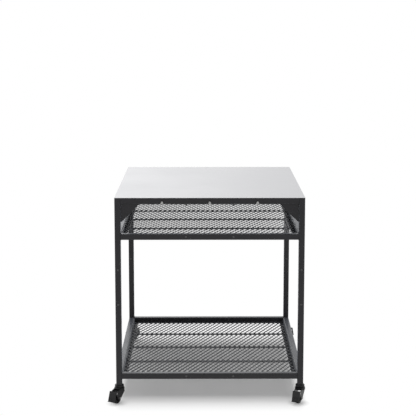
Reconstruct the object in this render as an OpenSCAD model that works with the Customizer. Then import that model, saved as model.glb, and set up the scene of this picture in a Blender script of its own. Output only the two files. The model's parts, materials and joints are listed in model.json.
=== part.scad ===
// Wheeled outdoor table with a steel worktop, two mesh shelves and four braked swivel casters.
// X runs to the right, Y to the back and Z up from the floor, with the origin under the middle.

/* [Table] */
// Width over the legs
table_w = 800; // [640:5:1000]
// Depth over the legs
table_d = 900; // [720:5:1100]
// Height of the worktop above the floor
table_h = 890; // [840:5:960]
// Height of the upper shelf rails' top above the floor
upper_shelf_h = 735; // [640:5:760]
// Height of the lower shelf rails' top above the floor
lower_shelf_h = 129; // [120:1:280]
// Height of the splice between the leg halves above the floor
splice_h = 505; // [420:5:560]

/* [Tube] */
// Width of the square tube
tube = 25; // [24:0.5:30]
// Wall of the square tube
tube_wall = 1.5; // [1:0.1:1.8]
// Outer corner radius of the tube
tube_r = 2.5; // [2:0.1:3]

/* [Worktop] */
// Thickness of the worktop sheet
sheet_t = 1.2; // [0.8:0.1:3]
// Corner radius of the worktop sheet
sheet_r = 3; // [1:0.5:8]
// Width of a stiffening channel over its flanges
channel_w = 60; // [50:1:80]
// Width of a stiffening channel's web
channel_web = 36; // [24:1:40]
// Depth of a stiffening channel
channel_h = 18; // [10:1:24]
// Sheet thickness of a stiffening channel
channel_t = 1.2; // [0.8:0.1:2]
// Spacing of the stiffening channels
channel_pitch = 200; // [120:5:230]
// Radius of a worktop stud
stud_r = 3; // [2.5:0.5:4]
// Distance of a front or back stud from the middle
stud_x = 100; // [60:5:240]
// Distance of a side stud from the middle
stud_y = 200; // [80:5:300]

/* [Gussets and hooks] */
// Length of a corner gusset along the rail and the leg
gusset = 78; // [40:1:100]
// Thickness of a corner gusset
gusset_t = 3; // [2:0.5:6]
// Width of a corner gusset's blunt tip
gusset_tip = 4; // [1:0.5:12]
// Spacing of the tool hooks
hook_pitch = 200; // [80:5:260]
// Width of a hook at its foot
hook_w = 12; // [8:0.5:20]
// Reach of a hook in front of the rail
hook_reach = 12; // [8:0.5:30]
// Height of a hook from its underside to its tip
hook_h = 14.2; // [8:0.1:24]
// Thickness of a hook
hook_t = 2; // [1.5:0.1:3]

/* [Splice] */
// Length of the sleeve in a leg
sleeve_l = 195; // [170:5:260]
// Wall of the sleeve
sleeve_wall = 2; // [1.5:0.1:3]
// Distance of a leg screw from the splice
screw_drop = 75; // [40:1:80]
// Radius of a leg screw's or a tray bolt's shank
bolt_r = 2.5; // [2:0.1:3]

/* [Shelves] */
// Thickness of a tray's angle and its bars
angle_t = 3; // [2:0.5:5]
// Height of a tray's angle
angle_h = 20; // [18:0.5:22]
// Width of a tray's angle
angle_w = 20; // [14:1:40]
// Width of a tray's cross bar
bar_w = 20; // [12:1:40]
// Distance of a front or back tray bolt from the middle
bolt_x = 100; // [60:5:280]
// Distance of a side tray bolt from the middle
bolt_y = 200; // [60:5:330]
// Thickness of the raised mesh
mesh_t = 5; // [3:0.5:5]
// Pitch of the mesh across its openings
mesh_short = 28.2; // [24:0.1:40]
// Pitch of the mesh along its openings
mesh_long = 57.5; // [48:0.5:80]
// Width of a mesh strand
mesh_strand = 3; // [2:0.1:4]
// Lean of the strands
mesh_lean = 35; // [0:1:45]
// Width of the mesh panel's plain edge
mesh_edge = 8; // [5:0.5:20]

/* [Casters] */
// Height of a caster under its leg
caster_h = 77; // [76:0.5:84]
// Diameter of a wheel
wheel_d = 50; // [44:0.5:50]
// Width of a tyre
tyre_w = 17; // [15:0.5:19]
// Distance of the axle behind the swivel axis
trail = 22; // [18:0.5:22]
// Radius of a caster's stem
stem_r = 5; // [4:0.5:6]
// Length of a caster's stem
stem_l = 25; // [16:1:40]
// Radius of a bearing ball
ball_r = 2; // [1.6:0.1:2]
// Number of balls in a swivel
balls = 12; // [8:1:16]
// Radius of an axle bolt
axle_r = 3; // [2.5:0.1:3.5]
// Width of a brake pedal
pedal_w = 32; // [26:1:38]
// Thickness of a brake pedal
pedal_t = 3; // [2:0.5:4]
// Travel of a brake pedal
pedal_travel = 12; // [6:1:12]

/* [Hidden] */
$fn = 48;

// Clearances
over = 1;
run_fit = 0.05;
hole_fit = 0.3;
sleeve_fit = 0.2;
channel_gap = 0.5;
mesh_gap = 1;
side_gap = 0.5;
race_fit = 0.12;
head_gap = 0.1;
shoe_gap = 0.35;

// Frame
steel = [0.16, 0.16, 0.17];
bright = [0.78, 0.79, 0.8];
black = [0.06, 0.06, 0.065];
bore_w = tube - 2 * tube_wall;
bore_r = tube_r - tube_wall;
span_x = table_w - 2 * tube;
span_y = table_d - 2 * tube;
leg_x = (table_w - tube) / 2;
leg_y = (table_d - tube) / 2;
frame_top = table_h - sheet_t;
rail_under = frame_top - tube;
corners = [[-1, -1], [1, -1], [1, 1], [-1, 1]];

// Socket and swivel of a caster
flange_t = 2;
socket_l = 24;
socket_wall = 3;
rib_t = 3;
leg_foot = caster_h + flange_t;
cup_r = 19.5;
cup_t = 4;
cup_rim_t = 2;
cup_rim_h = 4;
cup_under = caster_h - cup_t;
race_gap = 1.6;
race_r = 12.5;
race_z = cup_under - race_gap / 2;
groove_r = ball_r + race_fit;
kingpin_r = 4;
rivet_r = 8;
rivet_t = 2.5;
crown_top = cup_under - race_gap;
crown_t = 8.9;
crown_r = 16.5;
crown_step = 3.4;
crown_slope = 3.5;
crown_under = crown_top - crown_t;
skirt_r = 22;
skirt_t = 2.5;
skirt_h = 6.5;

// Fork, axle and wheel
fork_t = 3;
tyre_side = 4;
fork_gap = tyre_w + 2 * tyre_side;
fork_out = fork_gap / 2 + fork_t;
fork_half_w = 14.5;
fork_heel_u = 17.5;
fork_heel_z = 46;
boss_r = 10;
edge_tuck = 0.05;
axle_z = wheel_d / 2;
axle = [trail, axle_z];
spacer_wall = 1.5;
spacer_r = axle_r + spacer_wall;
hex_share = 1.155;
axle_head_af = 10;
axle_head_h = 4;
axle_nut_h = 5;
axle_end = 1.5;
tyre_t = 6;
rim_r = wheel_d / 2 - tyre_t;
rim_t = 2.5;
rim_side = 1;
rim_w = tyre_w - 2 * rim_side;
hub_r = 9;
hub_side = 0.6;
hub_l = fork_gap - 2 * hub_side;
web_t = 8;
shoulder_r = 3;

// Brake
ear_r = 6;
brake_pin_r = 2.5;
pin_head_r = 4;
pin_head_t = 1.2;
pedal_hub_r = 4;
shoe_turn = 25;
shoe_up = 14;
shoe_l = 20;
pivot = axle + (wheel_d / 2 + shoe_gap + pedal_hub_r) * around(shoe_turn)
  + shoe_up * around(shoe_turn + 90);
pedal_web_w = fork_gap - 2 * side_gap;
pedal_rise = 10;
pedal_drop = 30;
pedal_top_out = 6;
pedal_foot_out = 20.3;
pedal_lip = 5;

// Fasteners
bolt_head_r = 4.75;
bolt_head_h = 2.75;
bolt_key = 3;
bolt_nut_af = 8;
bolt_nut_h = 4;
bolt_end = 1;
screw_l = 8;
stud_nut_af = 10;
stud_nut_h = 7;
stud_flange_r = 6.5;
stud_flange_t = 1.5;
stud_end = 1.5;

// Swivel angle of each caster, in the order of the corners
swivels = [242, 248, 62, 68];

// Shares of the depth at which a tray's bars lie
bar_shares = [0.25, 0.5, 0.75];
// Profile of a button head as shares of its radius and height
head_shares = [[1, 0], [1, 0.28], [0.9, 0.6], [0.72, 0.86], [0.5, 1], [0, 1]];
// Outline of a hook as shares of its width and height
hook_shares = [[0.5, 0], [0.5, 0.45], [0.22, 0.97], [0.12, 1],
               [-0.12, 1], [-0.22, 0.97], [-0.5, 0.45], [-0.5, 0]];

module rounded(w, d, r) {
  square([w - 2 * r, d], center = true);
  square([w, d - 2 * r], center = true);
  for (x = [-1, 1], y = [-1, 1])
    translate([x * (w / 2 - r), y * (d / 2 - r)])
      circle(r);
}

module tube_section() {
  difference() {
    rounded(tube, tube, tube_r);
    rounded(bore_w, bore_w, bore_r);
  }
}

module bar_x(length) {
  rotate([0, 90, 0])
    linear_extrude(height = length, center = true)
      tube_section();
}

module bar_y(length) {
  rotate([90, 0, 0])
    linear_extrude(height = length, center = true)
      tube_section();
}

module hex(af, h) {
  cylinder(h = h, r = af * hex_share / 2, $fn = 6);
}

// A leg half with its screw hole in the front wall
module leg(corner, bottom, top, hole_z) {
  color(steel)
    translate([corner[0] * leg_x, corner[1] * leg_y, 0])
      difference() {
        translate([0, 0, bottom])
          linear_extrude(height = top - bottom)
            tube_section();
        translate([0, -tube / 2, hole_z])
          rotate([90, 0, 0])
            cylinder(h = tube, r = bolt_r + hole_fit, center = true);
      }
}

module leg_lower(corner) {
  leg(corner, leg_foot, splice_h, splice_h - screw_drop);
}

module leg_upper(corner) {
  leg(corner, splice_h, frame_top, splice_h + screw_drop);
}

module sleeve() {
  w = bore_w - 2 * sleeve_fit;
  in_w = w - 2 * sleeve_wall;
  difference() {
    translate([0, 0, splice_h - sleeve_l / 2])
      linear_extrude(height = sleeve_l)
        difference() {
          rounded(w, w, bore_r + sleeve_fit);
          square(in_w, center = true);
        }
    for (s = [-1, 1])
      translate([0, -w / 2, splice_h + s * screw_drop])
        rotate([90, 0, 0])
          cylinder(h = w, r = bolt_r + run_fit, center = true);
  }
}

module leg_sleeves() {
  color(steel)
    for (c = corners)
      translate([c[0] * leg_x, c[1] * leg_y, 0])
        sleeve();
}

// A button-head screw along +Z whose head stands on the plane z = 0
module button_screw(length) {
  difference() {
    rotate_extrude()
      polygon(concat(
        [[0, -length], [bolt_r, -length], [bolt_r, 0]],
        [for (s = head_shares) [s[0] * bolt_head_r, s[1] * bolt_head_h]]
      ));
    translate([0, 0, bolt_head_h / 3])
      hex(bolt_key, bolt_head_h);
  }
}

module leg_screws() {
  color(black)
    for (c = corners, s = [-1, 1])
      translate([c[0] * leg_x, c[1] * leg_y - tube / 2, splice_h + s * screw_drop])
        rotate([90, 0, 0])
          button_screw(screw_l);
}

module rail_x(side, under, hole_x, up) {
  color(steel)
    translate([0, side * leg_y, under + tube / 2])
      difference() {
        bar_x(span_x);
        for (s = [-1, 1])
          translate([s * hole_x, 0, 0])
            rotate([up ? 0 : 90, 0, 0])
              cylinder(h = tube + 2 * over, r = (up ? stud_r : bolt_r) + hole_fit, center = true);
      }
}

module rail_y(side, under, hole_y, up) {
  color(steel)
    translate([side * leg_x, 0, under + tube / 2])
      difference() {
        bar_y(span_y);
        for (s = [-1, 1])
          translate([0, s * hole_y, 0])
            rotate([0, up ? 0 : 90, 0])
              cylinder(h = tube + 2 * over, r = (up ? stud_r : bolt_r) + hole_fit, center = true);
      }
}

// The places of the worktop studs
stud_places = [
  for (s = [-1, 1]) each [[s * stud_x, -leg_y], [s * stud_x, leg_y]],
  for (s = [-1, 1]) each [[-leg_x, s * stud_y], [leg_x, s * stud_y]]
];

module worktop() {
  color(bright)
    translate([0, 0, frame_top])
      linear_extrude(height = sheet_t)
        rounded(table_w, table_d, sheet_r);
}

// Weld studs under the sheet and their flange nuts
module worktop_fixings() {
  stud_l = tube + stud_nut_h + stud_end;
  color(black)
    for (p = stud_places)
      translate([p[0], p[1], frame_top])
        mirror([0, 0, 1]) {
          cylinder(h = stud_l, r = stud_r);
          translate([0, 0, tube])
            difference() {
              union() {
                cylinder(h = stud_flange_t, r = stud_flange_r);
                hex(stud_nut_af, stud_nut_h);
              }
              translate([0, 0, -over])
                cylinder(h = stud_nut_h + 2 * over, r = stud_r + run_fit);
            }
        }
}

module channel() {
  a = channel_w / 2;
  b = channel_web / 2;
  h = channel_h;
  t = channel_t;
  rotate([90, 0, 0])
    linear_extrude(height = span_y - 2 * channel_gap, center = true)
      polygon([[-a, 0], [-a, -t], [-b, -t], [-b, -h], [b, -h], [b, -t],
               [a, -t], [a, 0], [b - t, 0], [b - t, t - h], [t - b, t - h], [t - b, 0]]);
}

module worktop_channels() {
  color(bright)
    for (i = [-1 : 1])
      translate([i * channel_pitch, 0, frame_top])
        channel();
}

module corner_gussets() {
  color(steel)
    for (c = corners)
      translate([c[0] * span_x / 2, c[1] * leg_y, rail_under])
        rotate([90, 0, 0])
          linear_extrude(height = gusset_t, center = true)
            polygon([[0, 0], [-c[0] * gusset, 0], [-c[0] * gusset, -gusset_tip],
                     [-c[0] * gusset_tip, -gusset], [0, -gusset]]);
}

// A hook: a bent strip within its tapered front outline
module hook() {
  bend_r = hook_t * 2;
  foot = tube - hook_t * 2;
  reach = foot + hook_reach;
  intersection() {
    rotate([90, 0, 90])
      linear_extrude(height = hook_w + 2 * over, center = true) {
        translate([bend_r, 0])
          square([reach - bend_r, hook_t]);
        translate([0, bend_r])
          square([hook_t, hook_h - bend_r]);
        translate([bend_r, bend_r])
          intersection() {
            difference() {
              circle(bend_r);
              circle(bend_r - hook_t);
            }
            translate([-bend_r, -bend_r])
              square(bend_r);
          }
      }
    translate([0, reach + over, 0])
      rotate([90, 0, 0])
        linear_extrude(height = reach + 2 * over)
          polygon([for (s = hook_shares) [s[0] * hook_w, s[1] * hook_h]]);
  }
}

module front_hooks() {
  color(bright)
    for (i = [-1 : 1])
      translate([i * hook_pitch, -table_d / 2 - hook_reach, rail_under - hook_t])
        hook();
}

bar_places = [for (s = bar_shares) (s - 0.5) * span_y];
gap_starts = concat([angle_w - span_y / 2], [for (y = bar_places) y + bar_w / 2]);
gap_ends = concat([for (y = bar_places) y - bar_w / 2], [span_y / 2 - angle_w]);

// An angle ring and its cross bars, cut from one block
module tray(under) {
  color(steel)
    translate([0, 0, under])
      difference() {
        translate([-span_x / 2, -span_y / 2, 0])
          cube([span_x, span_y, angle_h]);
        translate([angle_t - span_x / 2, angle_t - span_y / 2, angle_t])
          cube([span_x - 2 * angle_t, span_y - 2 * angle_t, angle_h]);
        for (k = [0 : len(gap_starts) - 1])
          translate([angle_w - span_x / 2, gap_starts[k], -over])
            cube([span_x - 2 * angle_w, gap_ends[k] - gap_starts[k], angle_t + 2 * over]);
        for (s = [-1, 1]) {
          translate([s * bolt_x, 0, tube / 2])
            rotate([90, 0, 0])
              cylinder(h = span_y + 2 * over, r = bolt_r + hole_fit, center = true);
          translate([0, s * bolt_y, tube / 2])
            rotate([0, 90, 0])
              cylinder(h = span_x + 2 * over, r = bolt_r + hole_fit, center = true);
        }
      }
}

shelf_unders = [upper_shelf_h - tube, lower_shelf_h - tube];

// Places each tray bolt with its head's seat on the rail's outer face
module at_tray_bolts() {
  for (z = shelf_unders, a = [-1, 1], b = [-1, 1]) {
    translate([a * bolt_x, b * table_d / 2, z + tube / 2])
      rotate([-90 * b, 0, 0])
        children();
    translate([b * table_w / 2, a * bolt_y, z + tube / 2])
      rotate([0, 90 * b, 0])
        rotate([0, 0, 90])
          children();
  }
}

module tray_bolts() {
  color(black)
    at_tray_bolts()
      button_screw(tube + angle_t + bolt_nut_h + bolt_end);
}

module tray_nuts() {
  color(black)
    at_tray_bolts()
      translate([0, 0, -tube - angle_t - bolt_nut_h])
        difference() {
          hex(bolt_nut_af, bolt_nut_h);
          translate([0, 0, -over])
            cylinder(h = bolt_nut_h + 2 * over, r = bolt_r + run_fit);
        }
}

// Raised expanded mesh: a panel cut by leaning diamond prisms in two interleaved lattices
module mesh_panel(under) {
  w = span_x - 2 * angle_t - 2 * mesh_gap;
  d = span_y - 2 * angle_t - 2 * mesh_gap;
  half_short = (mesh_short / 2 - mesh_strand) * cos(mesh_lean);
  half_long = mesh_long / 2 - 2 * mesh_strand;
  reach_x = (w / 2 - mesh_edge) / mesh_short - 1 / 2;
  reach_y = (d / 2 - mesh_edge) / mesh_long - 1 / 2;
  na = floor(reach_x);
  nb = floor(reach_y);
  ma = floor(reach_x - 1 / 2);
  mb = floor(reach_y - 1 / 2);
  color(steel)
    translate([0, 0, under])
      difference() {
        translate([-w / 2, -d / 2, 0])
          cube([w, d, mesh_t]);
        for (i = [-na : na], j = [-nb : nb])
          translate([i * mesh_short, j * mesh_long, mesh_t / 2])
            mesh_opening(half_short, half_long);
        for (i = [-ma - 1 : ma], j = [-mb - 1 : mb])
          translate([(i + 1 / 2) * mesh_short, (j + 1 / 2) * mesh_long, mesh_t / 2])
            mesh_opening(half_short, half_long);
      }
}

module mesh_opening(a, b) {
  rotate([0, -mesh_lean, 0])
    linear_extrude(height = mesh_short + 2 * mesh_t, center = true)
      polygon([[-a, 0], [0, -b], [a, 0], [0, b]]);
}

// Plug with crossed ribs and a flange in a leg's foot
module caster_sockets() {
  w = bore_w - 2 * sleeve_fit;
  color(black)
    for (c = corners)
      translate([c[0] * leg_x, c[1] * leg_y, caster_h])
        difference() {
          union() {
            linear_extrude(height = flange_t)
              rounded(tube, tube, tube_r);
            linear_extrude(height = flange_t + socket_l) {
              circle(stem_r + socket_wall);
              square([w, rib_t], center = true);
              square([rib_t, w], center = true);
            }
          }
          translate([0, 0, -over])
            cylinder(h = flange_t + socket_l + 2 * over, r = stem_r + run_fit);
        }
}

module at_caster(i) {
  translate([corners[i][0] * leg_x, corners[i][1] * leg_y, 0])
    rotate([0, 0, swivels[i]])
      children();
}

// Stem, bearing cup, kingpin and rivet head in one turned piece
module caster_stems() {
  rivet_top = crown_under - head_gap;
  color(black)
    for (i = [0 : 3])
      at_caster(i)
        rotate_extrude()
          difference() {
            polygon([
              [0, rivet_top - rivet_t], [rivet_r - rivet_t / 2, rivet_top - rivet_t],
              [rivet_r, rivet_top - rivet_t / 2], [rivet_r, rivet_top],
              [kingpin_r, rivet_top], [kingpin_r, cup_under],
              [cup_r - cup_rim_t, cup_under], [cup_r - cup_rim_t, cup_under - cup_rim_h],
              [cup_r, cup_under - cup_rim_h], [cup_r, caster_h - cup_t / 4],
              [cup_r - cup_t / 4, caster_h], [stem_r, caster_h],
              [stem_r, caster_h + stem_l], [0, caster_h + stem_l]
            ]);
            translate([race_r, race_z])
              circle(groove_r);
          }
}

module swivel_balls() {
  color(bright)
    for (i = [0 : 3], k = [0 : balls - 1])
      at_caster(i)
        rotate([0, 0, k * 360 / balls])
          translate([race_r, 0, race_z])
            sphere(ball_r);
}

// The point where a line from p touches the circle, on the side given by s
function touch(p, c, r, s) =
  let (d = p - c, a = atan2(d[1], d[0]) + s * acos(r / norm(d)))
  c + r * [cos(a), sin(a)];

// The angle at which a line touches two circles from outside, on the side given by s
function both(c, r, e, q, s) =
  let (d = e - c) atan2(d[1], d[0]) + s * acos((r - q) / norm(d));

function around(a) = [cos(a), sin(a)];

// A side's straight edges run into the round ends just inside their rims
module fork_side() {
  boss = boss_r - edge_tuck;
  ear = ear_r - edge_tuck;
  heel = [-fork_heel_u, fork_heel_z];
  toe = [fork_half_w, crown_under + over];
  under_a = both(axle, boss, pivot, ear, -1);
  polygon([
    [-fork_half_w, crown_under + over], heel, touch(heel, axle, boss, 1), axle,
    axle + boss * around(under_a), pivot + ear * around(under_a), pivot,
    touch(toe, pivot, ear, -1), toe
  ]);
  translate(axle)
    circle(boss_r);
  translate(pivot)
    circle(ear_r);
}

module caster_fork(i) {
  color(black)
    at_caster(i)
      difference() {
        union() {
          rotate_extrude()
            difference() {
              polygon([
                [kingpin_r + run_fit, crown_top], [crown_r, crown_top],
                [crown_r, crown_top - crown_step],
                [skirt_r, crown_top - crown_step - crown_slope],
                [skirt_r, crown_under - skirt_h], [skirt_r - skirt_t, crown_under - skirt_h],
                [skirt_r - skirt_t, crown_under], [kingpin_r + run_fit, crown_under]
              ]);
              translate([race_r, race_z])
                circle(groove_r);
            }
          for (s = [-1, 1])
            translate([0, s * (fork_out - fork_t / 2), 0])
              rotate([90, 0, 0])
                linear_extrude(height = fork_t, center = true)
                  fork_side();
        }
        translate([trail, 0, axle_z])
          rotate([90, 0, 0])
            cylinder(h = 2 * fork_out + 2 * over, r = axle_r + run_fit, center = true);
        translate([pivot[0], 0, pivot[1]])
          rotate([90, 0, 0])
            cylinder(h = 2 * fork_out + 2 * over, r = brake_pin_r + run_fit, center = true);
      }
}

// Axle bolt, its nut and the spacer that the wheel turns on
module axle_set(i) {
  shank = 2 * fork_out + axle_nut_h + axle_end;
  color(bright)
    at_caster(i)
      translate([trail, fork_out, axle_z])
        rotate([90, 0, 0]) {
          union() {
            mirror([0, 0, 1])
              hex(axle_head_af, axle_head_h);
            translate([0, 0, -axle_head_h / 2])
              cylinder(h = shank + axle_head_h / 2, r = axle_r);
          }
          translate([0, 0, 2 * fork_out])
            difference() {
              hex(axle_head_af, axle_nut_h);
              translate([0, 0, -over])
                cylinder(h = axle_nut_h + 2 * over, r = axle_r + run_fit);
            }
          translate([0, 0, fork_t])
            difference() {
              cylinder(h = fork_gap, r = spacer_r);
              translate([0, 0, -over])
                cylinder(h = fork_gap + 2 * over, r = axle_r + run_fit);
            }
        }
}

module wheel_core(i) {
  bore = spacer_r + run_fit;
  color(black)
    at_caster(i)
      translate([trail, 0, axle_z])
        rotate([90, 0, 0])
          rotate_extrude()
            polygon([
              [bore, -hub_l / 2], [hub_r, -hub_l / 2], [hub_r, -web_t / 2],
              [rim_r - rim_t, -web_t / 2], [rim_r - rim_t, -rim_w / 2], [rim_r, -rim_w / 2],
              [rim_r, rim_w / 2], [rim_r - rim_t, rim_w / 2], [rim_r - rim_t, web_t / 2],
              [hub_r, web_t / 2], [hub_r, hub_l / 2], [bore, hub_l / 2]
            ]);
}

module wheel_tyre(i) {
  tread = wheel_d / 2;
  shoulder = tread - shoulder_r;
  color(black)
    at_caster(i)
      translate([trail, 0, axle_z])
        rotate([90, 0, 0])
          rotate_extrude() {
            translate([rim_r, -tyre_w / 2])
              square([shoulder - rim_r, tyre_w]);
            translate([rim_r, shoulder_r - tyre_w / 2])
              square([tread - rim_r, tyre_w - 2 * shoulder_r]);
            for (s = [-1, 1])
              translate([shoulder, s * (tyre_w / 2 - shoulder_r)])
                circle(shoulder_r);
          }
}

// Outline of the pedal plate, measured from its pivot
pedal_top = [pedal_top_out, pedal_rise];
pedal_foot = [pedal_foot_out, -pedal_drop];
pedal_dir = (pedal_foot - pedal_top) / norm(pedal_foot - pedal_top);
pedal_out = [-pedal_dir[1], pedal_dir[0]];
pedal_tip = pedal_foot + pedal_lip * (pedal_dir + pedal_out) / norm(pedal_dir + pedal_out);

// A pressed plate with two cheeks on the pin and a shoe whose flat face meets the tyre when pressed
module brake_pedal(i) {
  face_a = shoe_turn + pedal_travel;
  face_top = -pedal_hub_r * around(face_a);
  face_end = face_top - shoe_l * around(face_a + 90);
  cheek_foot = pedal_foot - pedal_dir * pedal_lip + pedal_t / 2 * pedal_out;
  cheek_top = pedal_top + pedal_t / 2 * pedal_out;
  color(black)
    at_caster(i)
      translate([pivot[0], 0, pivot[1]])
        rotate([90, 0, 0])
          difference() {
            union() {
              linear_extrude(height = pedal_w, center = true)
                polygon([
                  pedal_top, pedal_foot, pedal_tip,
                  pedal_tip + pedal_t * pedal_out, pedal_foot + pedal_t * pedal_out,
                  pedal_top + pedal_t * pedal_out
                ]);
              for (s = [-1, 1])
                translate([0, 0, s * (pedal_web_w - pedal_t) / 2])
                  linear_extrude(height = pedal_t, center = true) {
                    circle(pedal_hub_r);
                    polygon([[0, pedal_hub_r], face_top, face_end, cheek_foot, cheek_top]);
                  }
              linear_extrude(height = pedal_web_w, center = true)
                polygon([
                  (face_top + face_end) / 2, face_end, cheek_foot,
                  (cheek_foot + cheek_top) / 2
                ]);
            }
            cylinder(h = pedal_w + 2 * over, r = brake_pin_r + run_fit, center = true);
          }
}

module brake_pin(i) {
  color(bright)
    at_caster(i)
      translate([pivot[0], 0, pivot[1]])
        rotate([90, 0, 0])
          rotate_extrude()
            polygon([
              [0, -fork_out - pin_head_t], [pin_head_r / 2, -fork_out - pin_head_t],
              [pin_head_r, -fork_out - pin_head_t / 3], [pin_head_r, -fork_out],
              [brake_pin_r, -fork_out], [brake_pin_r, fork_out],
              [pin_head_r, fork_out], [pin_head_r, fork_out + pin_head_t / 3],
              [pin_head_r / 2, fork_out + pin_head_t], [0, fork_out + pin_head_t]
            ]);
}

leg_lower(corners[0]);  // leg_lower_fl
leg_lower(corners[1]);  // leg_lower_fr
leg_lower(corners[2]);  // leg_lower_br
leg_lower(corners[3]);  // leg_lower_bl
leg_upper(corners[0]);  // leg_upper_fl
leg_upper(corners[1]);  // leg_upper_fr
leg_upper(corners[2]);  // leg_upper_br
leg_upper(corners[3]);  // leg_upper_bl
leg_sleeves();
leg_screws();
rail_x(-1, rail_under, stud_x, true);  // top_rail_front
rail_x(1, rail_under, stud_x, true);  // top_rail_back
rail_y(-1, rail_under, stud_y, true);  // top_rail_left
rail_y(1, rail_under, stud_y, true);  // top_rail_right
worktop();
worktop_channels();
worktop_fixings();
corner_gussets();
front_hooks();
rail_x(-1, shelf_unders[0], bolt_x, false);  // upper_rail_front
rail_x(1, shelf_unders[0], bolt_x, false);  // upper_rail_back
rail_y(-1, shelf_unders[0], bolt_y, false);  // upper_rail_left
rail_y(1, shelf_unders[0], bolt_y, false);  // upper_rail_right
rail_x(-1, shelf_unders[1], bolt_x, false);  // lower_rail_front
rail_x(1, shelf_unders[1], bolt_x, false);  // lower_rail_back
rail_y(-1, shelf_unders[1], bolt_y, false);  // lower_rail_left
rail_y(1, shelf_unders[1], bolt_y, false);  // lower_rail_right
tray(shelf_unders[0]);  // upper_tray
tray(shelf_unders[1]);  // lower_tray
mesh_panel(shelf_unders[0] + angle_t);  // upper_mesh
mesh_panel(shelf_unders[1] + angle_t);  // lower_mesh
tray_bolts();
tray_nuts();
caster_sockets();
caster_stems();
swivel_balls();
caster_fork(0);  // caster_fork_fl
caster_fork(1);  // caster_fork_fr
caster_fork(2);  // caster_fork_br
caster_fork(3);  // caster_fork_bl
axle_set(0);  // axle_fl
axle_set(1);  // axle_fr
axle_set(2);  // axle_br
axle_set(3);  // axle_bl
wheel_core(0);  // wheel_core_fl
wheel_core(1);  // wheel_core_fr
wheel_core(2);  // wheel_core_br
wheel_core(3);  // wheel_core_bl
wheel_tyre(0);  // wheel_tyre_fl
wheel_tyre(1);  // wheel_tyre_fr
wheel_tyre(2);  // wheel_tyre_br
wheel_tyre(3);  // wheel_tyre_bl
brake_pedal(0);  // brake_pedal_fl
brake_pedal(1);  // brake_pedal_fr
brake_pedal(2);  // brake_pedal_br
brake_pedal(3);  // brake_pedal_bl
brake_pin(0);  // brake_pin_fl
brake_pin(1);  // brake_pin_fr
brake_pin(2);  // brake_pin_br
brake_pin(3);  // brake_pin_bl
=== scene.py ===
"""Looks of a wheeled steel table with a brushed worktop, two raised mesh shelves and braked casters."""
import json
import math

import bmesh
import bpy
from bpy.props import FloatProperty, FloatVectorProperty, IntProperty, PointerProperty
from mathutils import Matrix, Vector


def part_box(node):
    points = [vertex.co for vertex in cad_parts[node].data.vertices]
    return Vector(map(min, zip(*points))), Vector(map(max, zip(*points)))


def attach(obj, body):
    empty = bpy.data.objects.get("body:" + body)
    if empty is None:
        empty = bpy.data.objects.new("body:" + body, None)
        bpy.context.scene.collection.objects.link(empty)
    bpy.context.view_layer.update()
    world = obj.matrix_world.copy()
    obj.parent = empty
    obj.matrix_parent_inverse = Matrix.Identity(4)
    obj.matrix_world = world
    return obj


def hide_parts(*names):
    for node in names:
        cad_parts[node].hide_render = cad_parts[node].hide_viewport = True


bl_info = {
    "name": "Patio Table Finisher",
    "version": (1, 0, 0),
    "blender": (4, 5, 0),
    "location": "View3D > Sidebar > Patio Table",
    "description": "Mesh shelves, welds, casters and finishes of a steel patio table",
    "category": "Object",
}

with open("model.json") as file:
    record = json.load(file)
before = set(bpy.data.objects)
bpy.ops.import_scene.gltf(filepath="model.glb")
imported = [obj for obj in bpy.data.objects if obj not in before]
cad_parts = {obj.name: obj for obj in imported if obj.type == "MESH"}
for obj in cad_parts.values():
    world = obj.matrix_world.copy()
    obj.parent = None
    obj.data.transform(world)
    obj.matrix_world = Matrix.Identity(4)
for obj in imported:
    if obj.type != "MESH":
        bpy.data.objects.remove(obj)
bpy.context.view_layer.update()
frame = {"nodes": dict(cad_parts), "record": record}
BEHAVIOUR = frame["record"]["behaviour"]
BODY_OF = {node: body for body, nodes in BEHAVIOUR["bodies"].items() for node in nodes}
JOINTS = {joint["name"]: joint for joint in BEHAVIOUR["joints"]}
SLOT_OF = {part["node"]: part["material_slot"] for part in frame["record"]["subparts"]}
CORNERS = ("fl", "fr", "br", "bl")
ORIGIN = Vector((0, 0, 0))
UP = Vector((0, 0, 1))


# Fixed sizes, in metres. A SHARE is a part of the size that its comment names.

# How close two points, or a point and a cut, count as one
MERGE_DISTANCE = 1e-6
CUT_DISTANCE = 1e-7

# Angles: the most within a flat face, the most that smooth shading spans, and the least that gets rounded
FLAT_ANGLE = math.radians(1.0)
SMOOTH_ANGLE = math.radians(35.0)
EDGE_ANGLE = math.radians(30.0)

# Rounded edges: their segments, and the weight of large flat faces in the shading beside them
EDGE_SEGMENTS = 2
FULL_WEIGHT = 100

# Raised mesh: cells laid past the panel's edges before it is cut, and the fewest faces of a whole panel
SPARE_CELLS = 2
FEWEST_FACES = 5000

# Weld beads: sides, ripples, and widths at the tips and between two ripples, of the full width
BEAD_SIDES = 6
FEWEST_RIPPLES = 2
BEAD_TIP_SHARE = 0.7
BEAD_WAIST_SHARE = 0.82
BEAD_SMOOTH_ANGLE = math.radians(60.0)

# Beads at the gussets and hooks, of a rail's bead, and where the hooks' beads lie
GUSSET_BEAD_SHARE = 0.7
HOOK_BEAD_SHARE = 0.5
HOOK_WIDTH = 0.012
HOOK_BEAD_INSET = 0.006

# Tyre: half its section from the middle of the tread to the rim, as the depth below the tread, of the wall's
# height, and the distance from the middle, of half the width
TYRE_WIDTH = 0.017
TYRE_TREAD = ((0.0, 0.0), (0.0, 0.3))
TYRE_GROOVE = ((0.04, 0.34), (0.16, 0.38), (0.16, 0.44), (0.06, 0.48))
TYRE_SHOULDER = ((0.05, 0.66), (0.14, 0.84), (0.32, 0.96), (0.55, 1.0))
TYRE_BEAD = ((0.8, 0.985), (0.88, 0.93), (1.0, 0.9))
TYRE_SECTION = TYRE_TREAD + TYRE_GROOVE + TYRE_SHOULDER + TYRE_BEAD

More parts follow.
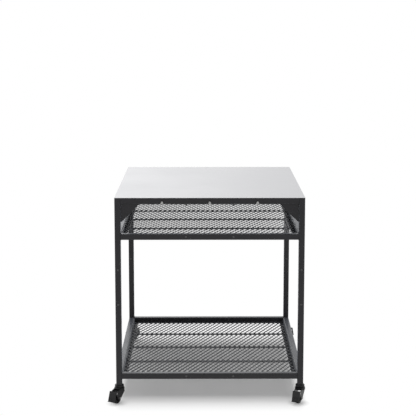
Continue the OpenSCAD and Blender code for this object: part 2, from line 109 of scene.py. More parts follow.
# Wheel core: radii and soft edges, of the rim's radius, and the web and ribs, of the rim's width
HUB_LENGTH = 0.0238
RIM_WIDTH = 0.015
BORE_SHARE = 0.24
HUB_SHARE = 0.47
INNER_SHARE = 0.86
SOFT_SHARE = 0.03
HALF_WEB_SHARE = 0.18
RIB_SHARE = 0.84

# Pedal: its slope from the brake's pin down, and the bars on it with their places along the slope
PEDAL_TOP = Vector((0.006, 0.010, 0))
PEDAL_FOOT = Vector((0.0203, -0.030, 0))
PEDAL_SHEET = 0.003
GRIP_SHARES = (0.62, 0.74, 0.86)
GRIP_SIDES = 12
GRIP_RADIUS = 0.0011
GRIP_LENGTH = 0.025
GRIP_EDGE_SHARE = 0.5
GRIP_EDGE_ANGLE = math.radians(60.0)

# Gloss of the powder coat on the tubes and on the mesh
FRAME_GLOSS = 0.37
MESH_GLOSS = 0.45

# Lamps: place and side of each square, and the point that they all face
LAMPS = {
    "key": (Vector((-0.2, -0.15, 4.4)), 0.9),
    "fill": (Vector((1.6, -3.4, 3.0)), 2.0),
    "back": (Vector((-3.0, 3.6, 1.9)), 1.8),
}
LAMP_TARGET = Vector((0, 0, 0.5))

# Camera: sideways shift of the view, and how far it sees
SHIFT_ASIDE = -0.001
VIEW_REACH = 200.0

# Floor: half its side, its colour, and what is left of its glowing in the painted shadow under the table and
# round a wheel's foot
HALF_FLOOR = 90.0
FLOOR_COLOUR = (0.85, 0.85, 0.85, 1)
PAINTED_SHADOW_GLOW = 0.19
PAINTED_FOOT_SHADOW_GLOW = 0.35
# Share of the painted foot shadow's reach within which that painted shadow is deepest
PAINTED_FOOT_SHADOW_CORE_SHARE = 0.25

# Backdrop in gloss, by the sideways part of a direction: where left turns to right, and where aside begins
MIDDLE_BLEND = 0.1
ASIDE_START = 0.2
ASIDE_END = 0.6

# Where a noise pattern turns from its low value to its high one
NOISE_START = 0.35
NOISE_END = 0.65

# A Mix node's two inputs and its output, for numbers and for colours
MIX_SOCKETS = {"FLOAT": (2, 3, 0), "RGBA": (6, 7, 2)}


# Sizes and colours to change

class ShelfMeshSettings(bpy.types.PropertyGroup):
    """Sizes of the raised mesh that fills the shelves"""

    short_pitch: FloatProperty(
        name="Short pitch", description="Pitch across the openings", default=0.0226, unit="LENGTH")
    long_pitch: FloatProperty(
        name="Long pitch", description="Pitch along the openings", default=0.046, unit="LENGTH")
    sheet: FloatProperty(
        name="Sheet", description="Thickness of a strand", default=0.0011, unit="LENGTH")
    strand: FloatProperty(
        name="Strand", description="Width of a strand", default=0.0051, unit="LENGTH")
    bond: FloatProperty(
        name="Bond", description="Length of the joint between two strands", default=0.0045, unit="LENGTH")
    lean: FloatProperty(
        name="Lean", description="Lean of the strands from upright", default=math.radians(61),
        subtype="ANGLE")


class EdgeSettings(bpy.types.PropertyGroup):
    """Widths of the rounded edges and of the weld beads"""

    sheet: FloatProperty(
        name="Sheet edge", description="Rounding of the worktop and of cut tube ends", default=0.0004,
        unit="LENGTH")
    pressed: FloatProperty(
        name="Pressed edge", description="Rounding of a pressed steel edge", default=0.0006,
        unit="LENGTH")
    weld: FloatProperty(
        name="Weld", description="Radius of a weld bead", default=0.0024, unit="LENGTH")
    ripple: FloatProperty(
        name="Ripple", description="Length of a ripple in a weld bead", default=0.0024, unit="LENGTH")


class WheelSettings(bpy.types.PropertyGroup):
    """Shapes of the tyres and of the wheel cores"""

    steps: IntProperty(name="Steps", description="Facets round a wheel", default=96, min=24)
    ribs: IntProperty(name="Ribs", description="Ribs of a wheel core", default=8, min=3)
    rib: FloatProperty(name="Rib", description="Thickness of a rib", default=0.0016, unit="LENGTH")


class FinishSettings(bpy.types.PropertyGroup):
    """Colours of the table's finishes"""

    powder: FloatVectorProperty(
        name="Powder coat", description="Colour of the frame", subtype="COLOR",
        default=(0.0095, 0.0088, 0.0112))
    worktop: FloatVectorProperty(
        name="Worktop", description="Colour of the brushed sheet", subtype="COLOR",
        default=(0.58, 0.581, 0.595))
    zinc: FloatVectorProperty(
        name="Zinc", description="Colour of the bright fasteners", subtype="COLOR",
        default=(0.38, 0.38, 0.375))
    black: FloatVectorProperty(
        name="Black", description="Colour of the casters", subtype="COLOR",
        default=(0.0045, 0.0045, 0.005))
    rubber: FloatVectorProperty(
        name="Rubber", description="Colour of the tyres", subtype="COLOR",
        default=(0.008, 0.008, 0.0083))


class StudioSettings(bpy.types.PropertyGroup):
    """Camera, lamps, floor and backdrop"""

    lens: FloatProperty(
        name="Lens", description="Focal length", default=99.41, unit="CAMERA")
    place: FloatVectorProperty(
        name="Place", description="Where the camera stands", subtype="TRANSLATION",
        default=(-0.0249, -5.1887, 1.7057))
    pitch: FloatProperty(
        name="Pitch", description="Downward tilt of the camera", default=math.radians(7.788),
        subtype="ANGLE")
    yaw: FloatProperty(
        name="Yaw", description="Turn of the camera to the right", default=math.radians(0.232),
        subtype="ANGLE")
    shift: FloatProperty(
        name="Shift", description="Vertical shift of the frame", default=-0.12)
    sky: FloatProperty(
        name="Sky", description="Strength of the surrounding light", default=0.32)
    key: FloatProperty(
        name="Key", description="Power of the lamp overhead", default=115.0, unit="POWER")
    fill: FloatProperty(
        name="Fill", description="Power of the lamp in front", default=30.0, unit="POWER")
    back: FloatProperty(
        name="Back", description="Power of the lamp behind on the left", default=45.0, unit="POWER")
    # The floor's painted shadow: a box under the table where the floor's white emission is cut, with a
    # fading border
    shadow: FloatVectorProperty(
        name="Shadow", description="Half the width and depth of the floor in full shadow",
        subtype="TRANSLATION", size=3, default=(0.37, 0.36, 1.0))
    fade: FloatVectorProperty(
        name="Fade", description="Width of the shadow's fading border, across and along",
        subtype="TRANSLATION", size=3, default=(0.05, 0.2, 1.0))
    # Painted contact shadow: the reach of a spot round each wheel's foot at rest, where the emission is cut
    # further
    painted_foot_shadow_reach: FloatProperty(
        name="Contact", description="Reach of the shadow round a wheel's foot", default=0.05,
        unit="LENGTH")
    mirrored: FloatProperty(
        name="Mirrored", description="Glow of the floor in gloss", default=0.6)
    left: FloatProperty(
        name="Left", description="Brightness of the backdrop on the left, seen in gloss", default=1.6)
    right: FloatProperty(
        name="Right", description="Brightness of the backdrop on the right, seen in gloss", default=0.9)
    aside: FloatProperty(
        name="Aside", description="Brightness of the backdrop far to the sides, seen in gloss",
        default=1.2)


# Helpers

def require(condition, words):
    """Stops an operator that can't finish."""
    if not condition:
        raise RuntimeError(words)


def cells(bm):
    """Everything in a bmesh."""
    return bm.verts[:] + bm.edges[:] + bm.faces[:]


def only(kind, geom):
    """The vertices, edges or faces in a mixed list."""
    return [part for part in geom if isinstance(part, kind)]


def joined(verts):
    """Vertices with the edges and faces on them, each once."""
    edges = dict.fromkeys(edge for vert in verts for edge in vert.link_edges)
    faces = dict.fromkeys(face for vert in verts for face in vert.link_faces)
    return [*verts, *edges, *faces]


def sharp_edges(bm, angle):
    """The edges whose two faces turn by more than an angle."""
    return [edge for edge in bm.edges if edge.calc_face_angle(0.0) > angle]


def block(bm, matrix):
    """A unit cube shaped by a matrix."""
    return bmesh.ops.create_cube(bm, size=1.0, matrix=matrix)["verts"]


def columns(x, y, z, place):
    """The matrix that lays a unit shape's axes along three vectors at a place."""
    space = Matrix((x, y, z)).transposed().to_4x4()
    space.translation = place
    return space


def array(bm, step, count):
    """Repeats everything in a bmesh along a step."""
    bmesh.ops.spin(
        bm, geom=cells(bm), cent=ORIGIN, axis=UP, dvec=step, angle=0.0, steps=count - 1,
        space=Matrix.Identity(4), use_merge=False, use_normal_flip=False, use_duplicate=True)


def new_piece(bm, name, body, slot, smooth=SMOOTH_ANGLE):
    """Turns a bmesh into a piece that rides on a body, with its slot's finish."""
    mesh = bpy.data.meshes.new(name)
    bm.to_mesh(mesh)
    bm.free()
    piece = bpy.data.objects.new(name, mesh)
    bpy.context.scene.collection.objects.link(piece)
    mesh.materials.append(finish_of(slot))
    mesh.shade_smooth()
    mesh.set_sharp_from_angle(angle=smooth)
    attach(piece, body)
    return piece


def stand_in(bm, name, node):
    """Turns a bmesh into a piece that stands in for a frame part."""
    piece = new_piece(bm, name, BODY_OF[node], SLOT_OF[node])
    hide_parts(node)
    return piece


def rounded_copy(node, width):
    """Stands a copy of a frame part with rounded edges in for it."""
    bm = bmesh.new()
    bm.from_mesh(frame["nodes"][node].data)
    bmesh.ops.remove_doubles(bm, verts=bm.verts, dist=MERGE_DISTANCE)
    bmesh.ops.dissolve_limit(bm, angle_limit=FLAT_ANGLE, verts=bm.verts, edges=bm.edges, delimit=set())
    bmesh.ops.bevel(
        bm, geom=sharp_edges(bm, EDGE_ANGLE), offset=width, segments=EDGE_SEGMENTS, affect="EDGES",
        profile=0.5, material=-1, clamp_overlap=True)
    piece = stand_in(bm, node + "_rounded", node)
    flat = piece.modifiers.new("flat_faces", "WEIGHTED_NORMAL")
    flat.mode = "FACE_AREA"
    flat.weight = FULL_WEIGHT
    flat.keep_sharp = True


# Finishes

class Nodes:
    """Short calls for building a node tree"""

    def __init__(self, tree):
        self.tree = tree

    def feed(self, socket, value):
        """Links an output to a socket, or sets the socket to a plain value."""
        if isinstance(value, bpy.types.NodeSocket):
            self.tree.links.new(value, socket)
        else:
            socket.default_value = value

    def add(self, kind, *values, **settings):
        """A node with its settings, and its first inputs fed in order."""
        node = self.tree.nodes.new(kind)
        for name, setting in settings.items():
            setattr(node, name, setting)
        for socket, value in zip(node.inputs, values):
            self.feed(socket, value)
        return node

    def arithmetic(self, operation, *values):
        """One step of arithmetic."""
        return self.add("ShaderNodeMath", *values, operation=operation).outputs[0]

    def vector(self, operation, *values):
        """One step of vector arithmetic."""
        node = self.add("ShaderNodeVectorMath", *values, operation=operation)
        return node.outputs["Value" if operation in ("LENGTH", "DISTANCE") else "Vector"]

    def mix(self, kind, factor, first, second):
        """Blends two numbers or two colours."""
        start, end, result = MIX_SOCKETS[kind]
        node = self.add("ShaderNodeMix", factor, data_type=kind)
        self.feed(node.inputs[start], first)
        self.feed(node.inputs[end], second)
        return node.outputs[result]

    def spread(self, factor, low=0.0, high=1.0, start=NOISE_START, end=NOISE_END):
        """Maps a factor between a start and an end onto a range of values."""
        return self.add("ShaderNodeMapRange", factor, start, end, low, high).outputs["Result"]


class Finish(Nodes):
    """Short calls for building a finish"""

    def __init__(self, name):
        self.material = bpy.data.materials.new(name)
        self.material.use_nodes = True
        super().__init__(self.material.node_tree)
        self.shader = self.tree.nodes["Principled BSDF"]

    def coordinates(self, scale=(1, 1, 1)):
        """Object coordinates, stretched by a scale."""
        mapping = self.add("ShaderNodeMapping", self.add("ShaderNodeTexCoord").outputs["Object"])
        self.feed(mapping.inputs["Scale"], scale)
        return mapping.outputs["Vector"]

    def noise(self, place, scale, detail=3.0, roughness=0.55):
        """A noise pattern."""
        node = self.add("ShaderNodeTexNoise")
        self.feed(node.inputs["Vector"], place)
        self.feed(node.inputs["Scale"], scale)
        self.feed(node.inputs["Detail"], detail)
        self.feed(node.inputs["Roughness"], roughness)
        return node.outputs["Fac"]

    def colours(self, factor, colour, dark, light):
        """Varies the base colour between a dark and a light shade of it."""
        first = (*shade(colour, dark), 1)
        second = (*shade(colour, light), 1)
        self.feed(self.shader.inputs["Base Color"], self.mix("RGBA", factor, first, second))

    def rough(self, pattern, low, high):
        """Varies the roughness by a pattern."""
        self.feed(self.shader.inputs["Roughness"], self.spread(pattern, low, high))

    def bump(self, height, distance, strength):
        """Raises the surface by a pattern."""
        node = self.add("ShaderNodeBump")
        self.feed(node.inputs["Height"], height)
        self.feed(node.inputs["Distance"], distance)
        self.feed(node.inputs["Strength"], strength)
        self.feed(self.shader.inputs["Normal"], node.outputs["Normal"])

    def surface(self, **values):
        """Sets the shader's own sockets."""
        for name, value in values.items():
            self.feed(self.shader.inputs[name.replace("_", " ")], value)


def shade(colour, factor):
    """A colour made darker or lighter."""
    return tuple(min(1.0, channel * factor) for channel in colour)


def powder_coat(name, colour, gloss):
    """Fine textured charcoal powder coat."""
    n = Finish(name)
    place = n.coordinates()
    cloud = n.noise(place, scale=9)
    n.colours(n.spread(cloud), colour, dark=0.88, light=1.15)
    n.rough(cloud, low=0.26, high=0.34)
    n.bump(n.noise(place, scale=1300, detail=2.0), distance=0.00008, strength=0.3)
    n.surface(
        Specular_IOR_Level=gloss, Sheen_Weight=0.4, Sheen_Roughness=0.4, Sheen_Tint=(0.8, 0.87, 1.0, 1.0))
    return n.material


def brushed_sheet(colour):
    """Stainless sheet brushed across the table."""
    n = Finish("brushed_sheet")
    grain = n.noise(n.coordinates(scale=(7, 800, 800)), scale=1, detail=4.0, roughness=0.6)
    cloud = n.noise(n.coordinates(), scale=3, detail=2.0)
    n.colours(n.spread(grain, start=0.3, end=0.7), colour, dark=0.95, light=1.05)
    n.rough(cloud, low=0.4, high=0.46)
    n.bump(grain, distance=0.00002, strength=0.2)
    n.surface(Metallic=1.0)
    return n.material


def bright_zinc(colour):
    """Bright plated steel of the hooks, pins and axles."""
    n = Finish("bright_zinc")
    place = n.coordinates()
    mottle = n.noise(place, scale=220)
    n.colours(n.spread(mottle), colour, dark=0.88, light=1.1)
    n.rough(mottle, low=0.24, high=0.38)
    n.bump(n.noise(place, scale=1800, detail=2.0), distance=0.00003, strength=0.3)
    n.surface(Metallic=1.0)
    return n.material


def black_oxide(colour):
    """Oiled black screws, nuts and studs."""
    n = Finish("black_oxide")
    place = n.coordinates()
    mottle = n.noise(place, scale=300)
    n.colours(n.spread(mottle), colour, dark=2.0, light=4.0)
    n.rough(mottle, low=0.22, high=0.32)
    n.bump(n.noise(place, scale=1600, detail=2.0), distance=0.00003, strength=0.3)
    n.surface(Specular_IOR_Level=0.9)
    return n.material


def black_steel(colour):
    """Smooth black coat of the casters' pressed steel."""
    n = Finish("black_steel")
    place = n.coordinates()
    cloud = n.noise(place, scale=60)
    n.colours(n.spread(cloud), colour, dark=0.8, light=1.5)
    n.rough(cloud, low=0.3, high=0.4)
    n.bump(n.noise(place, scale=900, detail=2.0), distance=0.00004, strength=0.3)
    n.surface(Specular_IOR_Level=0.3)
    return n.material


def black_nylon(colour):
    """Moulded nylon of the sockets and wheel cores."""
    n = Finish("black_nylon")
    place = n.coordinates()
    spark = n.noise(place, scale=1200, detail=2.0)
    n.colours(n.spread(n.noise(place, scale=40)), colour, dark=1.0, light=1.7)
    n.rough(spark, low=0.45, high=0.6)
    n.bump(spark, distance=0.00006, strength=0.4)
    n.surface(Specular_IOR_Level=0.35)
    return n.material


def tyre_rubber(colour):
    """Matt hard rubber with a little dust on it."""
    n = Finish("tyre_rubber")
    place = n.coordinates()
    dust = n.noise(place, scale=90, detail=4.0, roughness=0.65)
    n.colours(n.spread(dust, start=0.45, end=0.75), colour, dark=1.0, light=2.6)
    n.rough(dust, low=0.6, high=0.8)
    n.bump(n.noise(place, scale=1500, detail=2.0), distance=0.00008, strength=0.5)
    n.surface(Specular_IOR_Level=0.3)
    return n.material


def pale_floor(studio):
    """Matt floor that glows for the camera and in gloss, less so in a painted shadow under the table and
    round each wheel's foot, where its own shading shows through.
    """
    n = Finish("pale_floor")
    n.surface(Base_Color=FLOOR_COLOUR, Roughness=0.9, Specular_IOR_Level=0.1)
    rays = n.add("ShaderNodeLightPath").outputs
    seen = n.arithmetic("MULTIPLY_ADD", rays["Is Glossy Ray"], studio.mirrored, rays["Is Camera Ray"])
    place = n.add("ShaderNodeTexCoord").outputs["Object"]
    # Painted shadow: the emission drops to a low level in a box under the table and rises again across a
    # fading border
    past = n.vector("SUBTRACT", n.vector("ABSOLUTE", place), studio.shadow)
    border = n.vector("DIVIDE", n.vector("MAXIMUM", past, ORIGIN), studio.fade)
    glow_with_painted_shadow = n.spread(n.vector("LENGTH", border), low=PAINTED_SHADOW_GLOW, start=0.0, end=1.0)
    # Painted contact shadows: the emission drops further round the spot where each wheel stands at rest
    for corner in CORNERS:
        x, y = JOINTS["wheel_" + corner]["pos_m"][:2]
        away = n.vector("DISTANCE", place, (x, y, 0))
        core = studio.painted_foot_shadow_reach * PAINTED_FOOT_SHADOW_CORE_SHARE
        clear = n.spread(away, low=PAINTED_FOOT_SHADOW_GLOW, start=core, end=studio.painted_foot_shadow_reach)
        glow_with_painted_shadow = n.arithmetic("MULTIPLY", clear, glow_with_painted_shadow)
    lift = n.arithmetic("MULTIPLY", seen, glow_with_painted_shadow)
    white = n.add("ShaderNodeEmission")
    mix = n.add("ShaderNodeMixShader", lift, n.shader.outputs[0], white.outputs[0])
    n.feed(n.tree.nodes["Material Output"].inputs["Surface"], mix.outputs[0])
    return n.material


FINISHES = {}


def finish_of(slot):
    """The finish that belongs to a slot."""
    require(slot in FINISHES, "mix the finishes first")
    return FINISHES[slot]


# Shelf mesh

def leaning(angle, length):
    """A vector that leans to the left of upright."""
    return Vector((-math.sin(angle), 0, math.cos(angle))) * length


def trim(bm, size):
    """Cuts off what stands past a box's sides and closes the cuts."""
    for axis in (0, 1):
        for side in (-1, 1):
            normal = Vector((0, 0, 0))
            normal[axis] = side
            cut = bmesh.ops.bisect_plane(
                bm, geom=cells(bm), dist=CUT_DISTANCE, plane_co=normal * size[axis] / 2, plane_no=normal,
                clear_outer=True)["geom_cut"]
            bmesh.ops.edgeloop_fill(bm, edges=only(bmesh.types.BMEdge, cut))


def shelf_mesh(shelf, settings):
    """Raised mesh over a shelf: leaning strands that run from one upright bond to the next."""
    node = shelf + "_mesh"
    low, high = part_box(node)
    size = high - low
    short, long = settings.short_pitch, settings.long_pitch
    bond_lean = math.acos((size.z - settings.sheet) / (2 * settings.strand))
    bond = leaning(bond_lean, 2 * settings.strand)
    bond_sheet = leaning(bond_lean - math.pi / 2, settings.sheet)
    strand = leaning(settings.lean, settings.strand)
    strand_sheet = leaning(settings.lean - math.pi / 2, settings.sheet)
    bm = bmesh.new()
    block(bm, columns(bond_sheet, Vector((0, settings.bond, 0)), bond, ORIGIN))
    for side in (-1, 1):
        run = Vector((short / 2, side * long / 2, 0))
        block(bm, columns(strand_sheet, run, strand, run / 2))
    rows = math.ceil(size.y / long) + SPARE_CELLS
    lines = math.ceil(size.x / short) + SPARE_CELLS
    array(bm, (0, long, 0), rows)
    array(bm, (short, 0, 0), lines)
    between = bmesh.ops.duplicate(bm, geom=cells(bm))["geom"]
    bmesh.ops.translate(bm, verts=only(bmesh.types.BMVert, between), vec=(short / 2, long / 2, 0))
    middle = Vector((-(lines - 0.5) * short / 2, -(rows - 0.5) * long / 2, (low.z + high.z) / 2))
    bmesh.ops.translate(bm, verts=bm.verts, vec=middle)
    trim(bm, size)
    bmesh.ops.recalc_face_normals(bm, faces=bm.faces)
    return stand_in(bm, shelf + "_raised_mesh", node)


# Welds

def bead(bm, start, end, radius, ripple):
    """A rippled weld bead from one point to another."""
    run = end - start
    count = max(FEWEST_RIPPLES, round(run.length / ripple))
    step = run.length / (2 * count)
    ring = bmesh.ops.create_circle(
        bm, cap_ends=True, segments=BEAD_SIDES, radius=radius * BEAD_TIP_SHARE)["verts"]
    edges = only(bmesh.types.BMEdge, joined(ring))
    made = list(ring)
    for k in range(2 * count):
        geom = bmesh.ops.extrude_edge_only(bm, edges=edges)["geom"]
        ring = only(bmesh.types.BMVert, geom)
        edges = only(bmesh.types.BMEdge, geom)
        narrow = BEAD_TIP_SHARE if k in (0, 2 * count - 1) else BEAD_WAIST_SHARE
        factor = 1 / narrow if k % 2 == 0 else narrow
        middle = sum((vert.co for vert in ring), Vector()) / len(ring)
        bmesh.ops.translate(bm, verts=ring, vec=(0, 0, step))
        middle.z += step
        bmesh.ops.scale(bm, verts=ring, vec=(factor, factor, 1), space=Matrix.Translation(-middle))
        made += ring
    bmesh.ops.edgeloop_fill(bm, edges=edges)
    turn = UP.rotation_difference(run).to_matrix().to_4x4()
    bmesh.ops.transform(bm, matrix=Matrix.Translation(start) @ turn, verts=made)


def rail_welds(bm, rail, radius, ripple):
    """Beads over and under both ends of a rail, but not over a top rail."""
    low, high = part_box(rail)
    along = 0 if high.x - low.x > high.y - low.y else 1
    cross = 1 - along
    levels = [low.z] if rail.startswith("top") else [low.z, high.z]
    for level in levels:
        for end in (low[along], high[along]):
            start, stop = Vector((0, 0, level)), Vector((0, 0, level))
            start[along] = stop[along] = end
            start[cross], stop[cross] = low[cross] + radius, high[cross] - radius
            bead(bm, start, stop, radius, ripple)


def gusset_welds(bm, radius, ripple):
    """Beads on both sides of each gusset, along the rail and along the leg."""
    low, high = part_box("corner_gussets")
    reach = (high.z - low.z) - 2 * radius
    for rail, y in (("top_rail_front", low.y), ("top_rail_back", high.y)):
        rail_low, rail_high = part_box(rail)
        middle = (rail_low.y + rail_high.y) / 2
        half = abs(middle - y)
        for x in (low.x, high.x):
            inward = -math.copysign(1, x)
            for side in (-1, 1):
                face = middle + side * half
                near = Vector((x + inward * radius, face, high.z))
                far = Vector((x + inward * reach, face, high.z))
                bead(bm, near, far, radius, ripple)
                top = Vector((x, face, high.z - radius))
                foot = Vector((x, face, high.z - reach))
                bead(bm, top, foot, radius, ripple)


def hook_welds(bm, radius, ripple):
    """Short beads beside the foot of each hook."""
    low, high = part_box("front_hooks")
    rail_low, rail_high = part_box("top_rail_front")
    pitch = (high.x - low.x - HOOK_WIDTH) / 2
    for hook in (-1, 0, 1):
        for side in (-1, 1):
            x = hook * pitch + side * HOOK_WIDTH / 2
            start = Vector((x, rail_low.y + HOOK_BEAD_INSET, rail_low.z))
            stop = Vector((x, rail_high.y - HOOK_BEAD_INSET, rail_low.z))
            bead(bm, start, stop, radius, ripple)


# Casters

class Caster:
    """Places and directions of one caster, read from its joints"""

    def __init__(self, corner):
        wheel = JOINTS["wheel_" + corner]
        brake = JOINTS["brake_" + corner]
        self.corner = corner
        self.axle = Vector(wheel["pos_m"])
        self.axis = Vector(wheel["axis"]).normalized()
        self.trail = Vector((self.axis.y, -self.axis.x, 0))
        self.pivot = Vector(brake["pos_m"])

    def place(self, bm, point):
        """Moves a mesh to a point, its X along the trail, its Y up and its Z across the wheel."""
        space = columns(self.trail, UP, -self.axis, point)
        bmesh.ops.transform(bm, matrix=space, verts=bm.verts)
        bmesh.ops.recalc_face_normals(bm, faces=bm.faces)


def turned(half_section, steps):
    """Half a section of radius and height and its mirror image, spun round Z."""
    bm = bmesh.new()
    mirrored = [(radius, -height) for radius, height in half_section[::-1] if height]
    verts = [bm.verts.new((radius, 0, height)) for radius, height in half_section + mirrored]
    edges = [bm.edges.new((verts[k - 1], verts[k])) for k in range(len(verts))]
    bmesh.ops.spin(
        bm, geom=verts + edges, cent=ORIGIN, axis=UP, angle=math.tau, steps=steps, use_merge=True,
        use_normal_flip=False, use_duplicate=False, space=Matrix.Identity(4))
    bmesh.ops.remove_doubles(bm, verts=bm.verts, dist=MERGE_DISTANCE)
    return bm


def tyre(caster, settings):
    """A tyre with a crowned tread, two grooves and beaded sides."""
    node = "wheel_tyre_" + caster.corner
    low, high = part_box(node)
    outer = (high.z - low.z) / 2
    core_low, core_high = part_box("wheel_core_" + caster.corner)
    wall = outer - (core_high.z - core_low.z) / 2
    half = TYRE_WIDTH / 2
    half_section = [(outer - wall * depth, half * across) for depth, across in TYRE_SECTION]
    bm = turned(half_section, settings.steps)
    caster.place(bm, caster.axle)
    stand_in(bm, "tyre_" + caster.corner, node)


def wheel_core(caster, settings):
    """A moulded wheel core with a hub, a web, a rim and ribs between them."""
    node = "wheel_core_" + caster.corner
    low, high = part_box(node)
    rim = (high.z - low.z) / 2
    bore, hub, inner = rim * BORE_SHARE, rim * HUB_SHARE, rim * INNER_SHARE
    hub_half, web_half, rim_half = HUB_LENGTH / 2, RIM_WIDTH * HALF_WEB_SHARE, RIM_WIDTH / 2
    soft = rim * SOFT_SHARE
    half_section = [
        (bore, 0.0), (bore, hub_half - soft), (bore + soft, hub_half),
        (hub - soft, hub_half), (hub, hub_half - soft),
        (hub + soft, web_half + soft), (hub + 3 * soft, web_half),
        (inner - 2 * soft, web_half), (inner, web_half + 2 * soft),
        (inner, rim_half - soft), (inner + soft, rim_half),
        (rim - soft, rim_half), (rim, rim_half - soft), (rim, 0.0)]
    bm = turned(half_section, settings.steps)
    middle = Matrix.Translation(((hub + inner) / 2, 0, 0))
    size = Matrix.Diagonal((inner - hub + 2 * soft, settings.rib, RIM_WIDTH * RIB_SHARE, 1))
    rib = block(bm, middle @ size)
    bmesh.ops.spin(
        bm, geom=joined(rib), cent=ORIGIN, axis=UP, angle=math.tau * (1 - 1 / settings.ribs),
        steps=settings.ribs - 1, use_merge=False, use_normal_flip=False, use_duplicate=True,
        space=Matrix.Identity(4))
    caster.place(bm, caster.axle)
    stand_in(bm, "core_" + caster.corner, node)


def pedal_grip(caster):
    """Three raised bars across the foot of a pedal."""
    node = "brake_pedal_" + caster.corner
    bm = bmesh.new()
    down = (PEDAL_FOOT - PEDAL_TOP).normalized()
    out = Vector((-down.y, down.x, 0))
    for share in GRIP_SHARES:
        at = PEDAL_TOP.lerp(PEDAL_FOOT, share) + out * PEDAL_SHEET
        bmesh.ops.create_cone(
            bm, cap_ends=True, segments=GRIP_SIDES, radius1=GRIP_RADIUS, radius2=GRIP_RADIUS,
            depth=GRIP_LENGTH, matrix=Matrix.Translation(at))
    bmesh.ops.bevel(
        bm, geom=sharp_edges(bm, GRIP_EDGE_ANGLE), offset=GRIP_RADIUS * GRIP_EDGE_SHARE,
        segments=EDGE_SEGMENTS, affect="EDGES", profile=0.5, material=-1)
    caster.place(bm, caster.pivot)
    new_piece(bm, "pedal_grip_" + caster.corner, BODY_OF[node], SLOT_OF[node])


# Operators

class PATIO_OT_finishes(bpy.types.Operator):
    """Mixes the finishes and puts each on the frame parts that carry it"""

    bl_idname = "patio_table.finishes"
    bl_label = "Finishes"

    def execute(self, context):
        colours = context.scene.table_finish
        FINISHES.update(
            frame_steel=powder_coat("powder_coat", colours.powder, FRAME_GLOSS),
            mesh_steel=powder_coat("powder_coat_mesh", colours.powder, MESH_GLOSS),
            worktop_steel=brushed_sheet(colours.worktop),
            bright_steel=bright_zinc(colours.zinc),
            black_bolts=black_oxide(colours.black),
            caster_steel=black_steel(colours.black),
            caster_plastic=black_nylon(colours.black),
            tyre_rubber=tyre_rubber(colours.rubber))
        for name, part in frame["nodes"].items():
            require(name in SLOT_OF, name + " has no slot")
            part.data.materials.clear()
            part.data.materials.append(finish_of(SLOT_OF[name]))
        return {"FINISHED"}


class PATIO_OT_shelf_meshes(bpy.types.Operator):
    """Makes the raised mesh of both shelves"""

    bl_idname = "patio_table.shelf_meshes"
    bl_label = "Shelf meshes"

    def execute(self, context):
        for shelf in ("upper", "lower"):
            piece = shelf_mesh(shelf, context.scene.table_mesh)
            require(len(piece.data.polygons) > FEWEST_FACES, shelf + " mesh has too few strands")
        return {"FINISHED"}


class PATIO_OT_frame(bpy.types.Operator):
    """Rounds the worktop's edges, the legs' cut ends, the gussets and the hooks"""

    bl_idname = "patio_table.frame"
    bl_label = "Frame"

    def execute(self, context):
        edges = context.scene.table_edges
        for corner in CORNERS:
            rounded_copy("leg_lower_" + corner, edges.sheet)
            rounded_copy("leg_upper_" + corner, edges.sheet)
        rounded_copy("worktop", edges.sheet)
        for node in ("corner_gussets", "front_hooks"):
            rounded_copy(node, edges.pressed)
        return {"FINISHED"}


class PATIO_OT_welds(bpy.types.Operator):
    """Runs the weld beads of the rails, gussets and hooks"""

    bl_idname = "patio_table.welds"
    bl_label = "Welds"

    def execute(self, context):
        edges = context.scene.table_edges
        rails = bmesh.new()
        for name in frame["nodes"]:
            if "_rail_" in name:
                rail_welds(rails, name, edges.weld, edges.ripple)
        gussets = bmesh.new()
        gusset_welds(gussets, edges.weld * GUSSET_BEAD_SHARE, edges.ripple)
        hook_welds(gussets, edges.weld * HOOK_BEAD_SHARE, edges.ripple)
        for bm, name in ((rails, "rail_weld_beads"), (gussets, "gusset_weld_beads")):
            bmesh.ops.recalc_face_normals(bm, faces=bm.faces)
            new_piece(bm, name, "table", "frame_steel", smooth=BEAD_SMOOTH_ANGLE)
        return {"FINISHED"}


class PATIO_OT_casters(bpy.types.Operator):
    """Makes the tyres, wheel cores and pedal grips, and rounds the forks and pedals"""

    bl_idname = "patio_table.casters"
    bl_label = "Casters"

    def execute(self, context):
        edges = context.scene.table_edges
        wheels = context.scene.table_wheels
        for corner in CORNERS:
            caster = Caster(corner)
            rounded_copy("caster_fork_" + corner, edges.pressed)
            rounded_copy("brake_pedal_" + corner, edges.pressed)
            tyre(caster, wheels)
            wheel_core(caster, wheels)
            pedal_grip(caster)
        return {"FINISHED"}


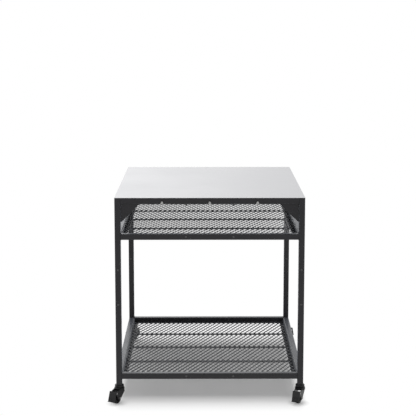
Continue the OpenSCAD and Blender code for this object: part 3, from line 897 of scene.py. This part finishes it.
class PATIO_OT_stage(bpy.types.Operator):
    """Sets the floor, the backdrop, the lamps and the camera"""

    bl_idname = "patio_table.stage"
    bl_label = "Stage"

    def execute(self, context):
        scene = context.scene
        studio = scene.table_studio
        self.floor(scene, studio)
        self.sky(scene, studio)
        for name, (place, size) in LAMPS.items():
            self.lamp(scene, name + "_lamp", getattr(studio, name), place, size)
        self.camera(scene, studio)
        scene.view_settings.view_transform = "Standard"
        return {"FINISHED"}

    def floor(self, scene, studio):
        """A wide pale floor with a painted shadow under the table and round the wheels' feet, where its real
        shade shows through, and plain white away from it.
        """
        bm = bmesh.new()
        bmesh.ops.create_grid(bm, x_segments=1, y_segments=1, size=HALF_FLOOR)
        mesh = bpy.data.meshes.new("floor")
        bm.to_mesh(mesh)
        bm.free()
        mesh.materials.append(pale_floor(studio))
        floor = bpy.data.objects.new("floor", mesh)
        scene.collection.objects.link(floor)

    def sky(self, scene, studio):
        """A pale sky, white to the camera and through glass, and graded from side to side in gloss."""
        world = bpy.data.worlds.new("sky")
        scene.world = world
        world.use_nodes = True
        n = Nodes(world.node_tree)
        rays = n.add("ShaderNodeLightPath").outputs
        place = n.add("ShaderNodeTexCoord").outputs["Generated"]
        across = n.add("ShaderNodeSeparateXYZ", place).outputs["X"]
        shine = n.spread(across, studio.left, studio.right, start=-MIDDLE_BLEND, end=MIDDLE_BLEND)
        far = n.spread(n.arithmetic("ABSOLUTE", across), start=ASIDE_START, end=ASIDE_END)
        graded = n.mix("FLOAT", far, shine, studio.aside)
        level = n.mix("FLOAT", rays["Is Glossy Ray"], studio.sky, graded)
        for ray in ("Is Camera Ray", "Is Transmission Ray"):
            level = n.mix("FLOAT", rays[ray], level, 1.0)
        background = n.tree.nodes["Background"]
        n.feed(background.inputs["Color"], (1, 1, 1, 1))
        n.feed(background.inputs["Strength"], level)

    def lamp(self, scene, name, power, place, size):
        """A soft square lamp that faces the table, and that the worktop doesn't mirror."""
        data = bpy.data.lights.new(name, "AREA")
        data.shape = "SQUARE"
        data.size = size
        data.energy = power
        lamp = bpy.data.objects.new(name, data)
        scene.collection.objects.link(lamp)
        lamp.location = place
        lamp.rotation_euler = (LAMP_TARGET - place).to_track_quat("-Z", "Y").to_euler()
        lamp.visible_glossy = False

    def camera(self, scene, studio):
        """The camera in front of the table, a little above it."""
        camera = bpy.data.objects.new("camera", bpy.data.cameras.new("camera"))
        scene.collection.objects.link(camera)
        camera.data.lens = studio.lens
        camera.data.shift_x = SHIFT_ASIDE
        camera.data.shift_y = studio.shift
        camera.data.clip_end = VIEW_REACH
        camera.location = studio.place
        camera.rotation_euler = (math.radians(90) - studio.pitch, 0, -studio.yaw)
        scene.camera = camera


class PATIO_PT_table(bpy.types.Panel):
    """Lists the table's sizes, finishes and makers"""

    bl_label = "Patio Table"
    bl_idname = "PATIO_PT_table"
    bl_space_type = "VIEW_3D"
    bl_region_type = "UI"
    bl_category = "Patio Table"

    def draw(self, context):
        for settings in GROUPS:
            group = getattr(context.scene, settings)
            box = self.layout.box()
            for name in group.bl_rna.properties.keys():
                if name not in ("rna_type", "name"):
                    box.prop(group, name)
        for operator in OPERATORS:
            self.layout.operator(operator.bl_idname)


OPERATORS = (
    PATIO_OT_stage,
    PATIO_OT_finishes,
    PATIO_OT_frame,
    PATIO_OT_welds,
    PATIO_OT_shelf_meshes,
    PATIO_OT_casters,
)
GROUPS = {
    "table_mesh": ShelfMeshSettings,
    "table_edges": EdgeSettings,
    "table_wheels": WheelSettings,
    "table_finish": FinishSettings,
    "table_studio": StudioSettings,
}
CLASSES = (*GROUPS.values(), *OPERATORS, PATIO_PT_table)


def register():
    for cls in CLASSES:
        bpy.utils.register_class(cls)
    for name, group in GROUPS.items():
        setattr(bpy.types.Scene, name, PointerProperty(type=group))


def unregister():
    for name in GROUPS:
        delattr(bpy.types.Scene, name)
    for cls in reversed(CLASSES):
        bpy.utils.unregister_class(cls)


def main():
    register()
    bpy.ops.patio_table.stage()
    bpy.ops.patio_table.finishes()
    bpy.ops.patio_table.frame()
    bpy.ops.patio_table.welds()
    bpy.ops.patio_table.shelf_meshes()
    bpy.ops.patio_table.casters()


if __name__ == "__main__":
    main()
